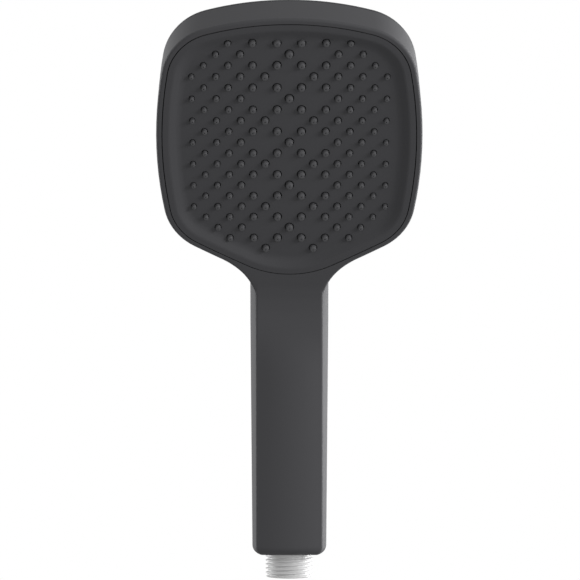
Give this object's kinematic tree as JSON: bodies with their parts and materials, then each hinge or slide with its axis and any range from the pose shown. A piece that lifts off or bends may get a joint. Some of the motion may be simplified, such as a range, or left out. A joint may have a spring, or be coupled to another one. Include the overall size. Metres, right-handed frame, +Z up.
{
  "type": "handheld shower head",
  "caption": "Handheld shower head: squared spray face with a recessed nozzle field, tilted on a slim flat-fronted handle with a threaded hose inlet at its foot.",
  "frame": {"origin": "on the handle's axis at the open end of the threaded inlet", "axes": "+Z up along the handle, -Y towards the spray side, +X to the right seen from the spray side"},
  "size_m": [0.1128, 0.0943, 0.2487],
  "materials": {
    "shell_black": "matte",
    "cover_black": "matte",
    "plate_black": "matte",
    "silicone_black": "matte",
    "chamber_grey": "satin",
    "seal_rubber": "matte",
    "screw_steel": "satin",
    "tube_white": "satin",
    "inlet_grey": "satin",
    "cartridge_blue": "satin",
    "regulator_green": "satin",
    "poppet_blue": "satin",
    "spring_steel": "satin"
  },
  "bodies": {
    "shower": {"body_shell": "shell_black", "rear_cover": "cover_black", "faceplate": "plate_black", "nozzle_mat": "silicone_black", "jet_plate": "chamber_grey", "chamber_seal": "seal_rubber", "chamber_back": "chamber_grey", "chamber_screws": "screw_steel", "elbow": "chamber_grey", "elbow_seal": "seal_rubber", "water_tube": "tube_white", "tube_seal_lower": "seal_rubber", "tube_seal_upper": "seal_rubber", "tube_brace": "chamber_grey", "inlet_fitting": "inlet_grey", "inlet_seal": "seal_rubber", "lock_ring": "screw_steel", "filter_screen": "cartridge_blue", "regulator_body": "regulator_green", "regulator_ring": "seal_rubber", "valve_housing": "tube_white", "valve_seal": "seal_rubber", "valve_cage": "tube_white", "valve_spring": "spring_steel"},
    "poppet": {"valve_poppet": "poppet_blue", "poppet_seal": "seal_rubber"}
  },
  "joints": [
    {"name": "check_valve", "type": "slide", "parent": "shower", "child": "poppet", "axis": [0, 0, 1], "range_m": [0, 0.0025], "stiffness_N_per_m": 120, "springref_m": -0.003, "deforming": ["valve_spring"]}
  ]
}
